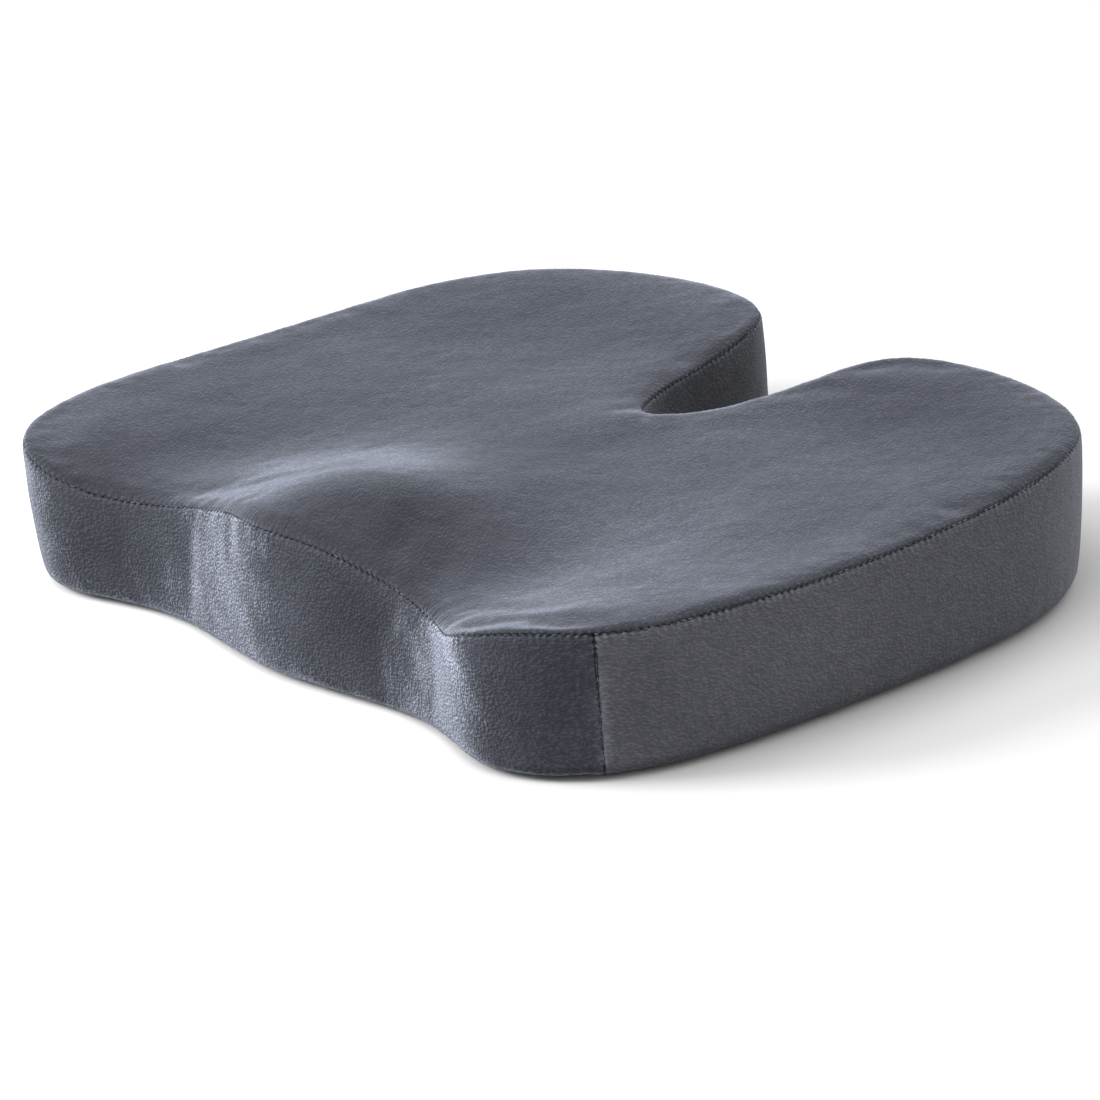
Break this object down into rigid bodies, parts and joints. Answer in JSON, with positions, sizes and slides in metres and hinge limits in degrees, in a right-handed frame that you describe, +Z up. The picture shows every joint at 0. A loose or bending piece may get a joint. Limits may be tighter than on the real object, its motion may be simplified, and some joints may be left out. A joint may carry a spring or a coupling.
{
  "type": "seat cushion",
  "caption": "U-shaped contoured seat cushion: foam core with thigh channels, centre ridge and tailbone notch, in a sewn pile-fabric cover with a zipped anti-slip underside.",
  "frame": {"origin": "under the middle of the cushion: the centre of its box, on the plane it rests on", "axes": "+X to the sitter's right, -Y towards the wavy front edge, +Y towards the open end of the notch, +Z up"},
  "size_m": [0.4488, 0.3417, 0.0752],
  "materials": {
    "foam": "open-cell slow-recovery foam, matte",
    "pile_fabric": "short slate-grey pile with a soft sheen",
    "seam_thread": "polyester thread, dark grey",
    "base_fabric": "close-woven dark fabric, matte",
    "grip_rubber": "soft moulded dots, satin",
    "zip_tape": "woven tape, dark grey",
    "zip_coil": "nylon coil, satin",
    "zip_metal": "dark lacquered zinc",
    "label_tape": "blank satin ribbon"
  },
  "bodies": {
    "cushion": {"foam_core": "foam", "top_panel": "pile_fabric", "front_band": "pile_fabric", "right_band": "pile_fabric", "left_band": "pile_fabric", "top_seam_thread": "seam_thread", "band_seam_threads": "seam_thread", "bottom_seam_thread": "seam_thread", "panel_join_threads": "seam_thread", "zip_stitch_threads": "seam_thread", "bottom_panel_front": "base_fabric", "bottom_panel_rear": "base_fabric", "grip_dots_front": "grip_rubber", "grip_dots_rear": "grip_rubber", "zipper_tape_front": "zip_tape", "zipper_tape_rear": "zip_tape", "zipper_coil_front": "zip_coil", "zipper_coil_rear": "zip_coil", "zipper_top_stops": "zip_metal", "zipper_bottom_stop": "zip_metal", "care_label": "label_tape"},
    "slider": {"zipper_slider": "zip_metal"},
    "pull_tab": {"zipper_pull_tab": "zip_metal"}
  },
  "joints": [
    {"name": "zipper_slide", "type": "slide", "parent": "cushion", "child": "slider", "axis": [-1, 0, 0], "range_m": [0, 0.315]},
    {"name": "pull_tab_hinge", "type": "hinge", "parent": "slider", "child": "pull_tab", "pos_m": [0.163, -0.002, 0.00352], "axis": [0, -1, 0], "range_deg": [0, 170]}
  ]
}
